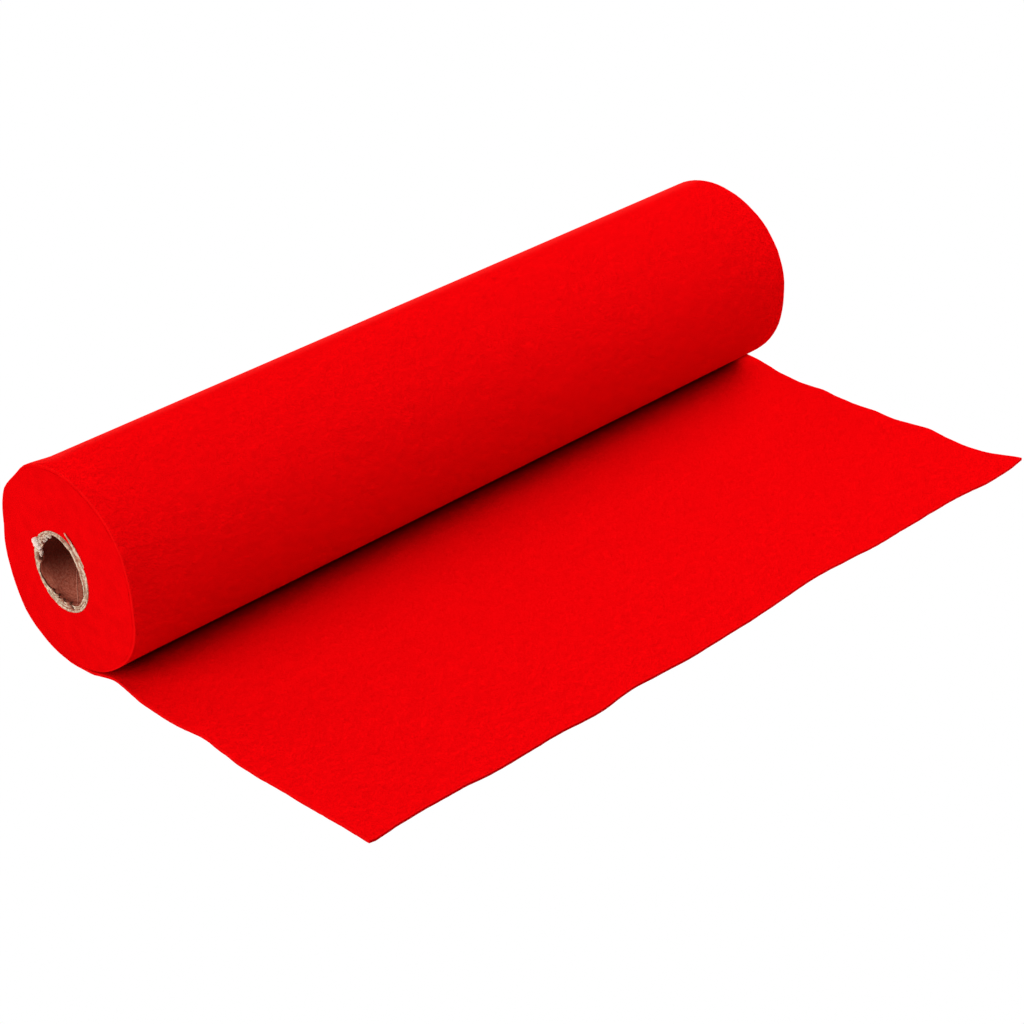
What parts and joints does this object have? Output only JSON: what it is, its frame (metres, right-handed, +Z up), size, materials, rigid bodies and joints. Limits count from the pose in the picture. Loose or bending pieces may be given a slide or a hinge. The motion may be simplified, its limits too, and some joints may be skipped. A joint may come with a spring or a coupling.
{
  "type": "felt roll on a cardboard tube",
  "caption": "Roll of red craft felt wound on a cardboard tube, lying on its side, with its loose end rolled out flat in front.",
  "frame": {"origin": "the middle of the underside of the whole part, on the surface that it rests on", "axes": "+X along the roll's axis, towards its far end; the loose end lies towards -Y; +Z up"},
  "size_m": [0.47, 0.268, 0.1042],
  "materials": {
    "felt": "matt needled felt, faintly fuzzy, soft sheen",
    "tube_board": "raw brown board with a torn, layered rim"
  },
  "bodies": {
    "root": {"felt": "felt", "core_tube": "tube_board"}
  },
  "joints": []
}
